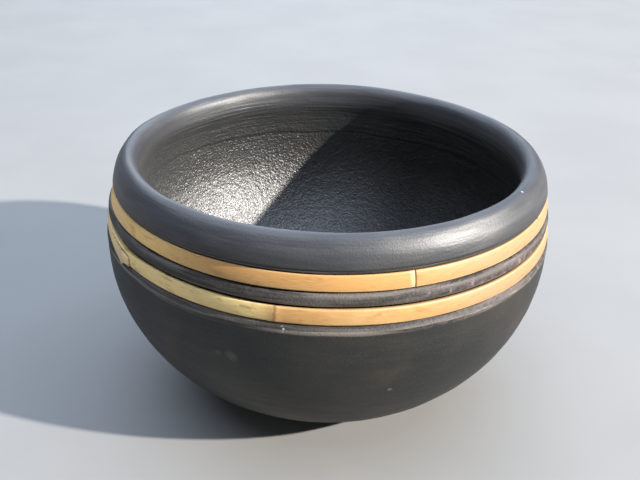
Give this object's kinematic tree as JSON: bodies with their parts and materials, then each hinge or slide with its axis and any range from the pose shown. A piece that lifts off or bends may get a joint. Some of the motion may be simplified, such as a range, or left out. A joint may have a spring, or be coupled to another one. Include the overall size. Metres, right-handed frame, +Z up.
{
  "type": "black clay bowl",
  "caption": "Round open bowl of burnished black clay with a thick rolled rim and flat cane strips inlaid around its upper wall, for holding food or small things.",
  "frame": {"origin": "middle of the foot's underside, on the surface that the bowl stands on", "axes": "+Z up along the bowl's axis; -Y is the front, so the upper strip's butt joint is at the front right and the lower strip's lapped joint is at the left"},
  "size_m": [0.1324, 0.1324, 0.0766],
  "materials": {
    "black_clay": "burnished satin, unglazed, smoke-blackened",
    "split_cane": "smooth natural cane skin, satin",
    "dried_glue": "dried adhesive, slightly glossy"
  },
  "bodies": {
    "root": {"bowl_body": "black_clay", "upper_cane_band": "split_cane", "lower_cane_band": "split_cane", "upper_glue_bed": "dried_glue", "lower_glue_bed": "dried_glue"}
  },
  "joints": []
}
